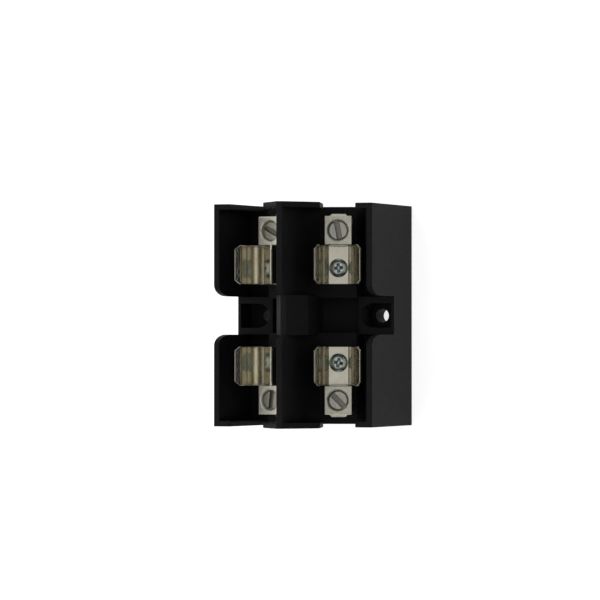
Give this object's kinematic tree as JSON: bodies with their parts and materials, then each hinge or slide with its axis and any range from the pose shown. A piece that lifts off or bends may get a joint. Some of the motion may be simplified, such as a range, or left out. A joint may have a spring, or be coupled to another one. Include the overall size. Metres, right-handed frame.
{
  "type": "fuse block",
  "caption": "Black moulded fuse block for two cartridge fuses side by side, with sprung clips, box lugs at both ends and screw-down ears.",
  "frame": {"origin": "centre of the mounting face", "axes": "+Z out of the mounting face, +Y along the fuses, +X across the two poles"},
  "size_m": [0.06, 0.0808, 0.06],
  "materials": {
    "moulding": "black compression-moulded phenolic, semi-matt",
    "clip_metal": "nickel-plated spring brass",
    "lug_metal": "tin-plated, satin",
    "clamp_steel": "zinc-plated steel, satin",
    "screw_zinc": "blue-passivated zinc on steel",
    "insert_brass": "turned brass, hidden under the clip"
  },
  "bodies": {
    "block": {"housing": "moulding", "fuse_clip_left_lower": "clip_metal", "fuse_clip_left_upper": "clip_metal", "fuse_clip_right_lower": "clip_metal", "fuse_clip_right_upper": "clip_metal", "box_lug_left_lower": "lug_metal", "box_lug_left_upper": "lug_metal", "box_lug_right_lower": "lug_metal", "box_lug_right_upper": "lug_metal", "clip_screw_left_lower": "screw_zinc", "clip_screw_left_upper": "screw_zinc", "clip_screw_right_lower": "screw_zinc", "clip_screw_right_upper": "screw_zinc", "threaded_insert_left_lower": "insert_brass", "threaded_insert_left_upper": "insert_brass", "threaded_insert_right_lower": "insert_brass", "threaded_insert_right_upper": "insert_brass"},
    "clamp_screw_left_lower": {"clamp_screw_left_lower": "clamp_steel"},
    "clamp_screw_left_upper": {"clamp_screw_left_upper": "clamp_steel"},
    "clamp_screw_right_lower": {"clamp_screw_right_lower": "clamp_steel"},
    "clamp_screw_right_upper": {"clamp_screw_right_upper": "clamp_steel"}
  },
  "joints": [
    {"name": "clamp_screw_left_lower_travel", "type": "slide", "parent": "block", "child": "clamp_screw_left_lower", "axis": [-0.3007, 0, 0.9537], "range_m": [-0.002, 0.003]},
    {"name": "clamp_screw_left_upper_travel", "type": "slide", "parent": "block", "child": "clamp_screw_left_upper", "axis": [-0.3007, 0, 0.9537], "range_m": [-0.002, 0.003]},
    {"name": "clamp_screw_right_lower_travel", "type": "slide", "parent": "block", "child": "clamp_screw_right_lower", "axis": [0.3007, 0, 0.9537], "range_m": [-0.002, 0.003]},
    {"name": "clamp_screw_right_upper_travel", "type": "slide", "parent": "block", "child": "clamp_screw_right_upper", "axis": [0.3007, 0, 0.9537], "range_m": [-0.002, 0.003]}
  ]
}
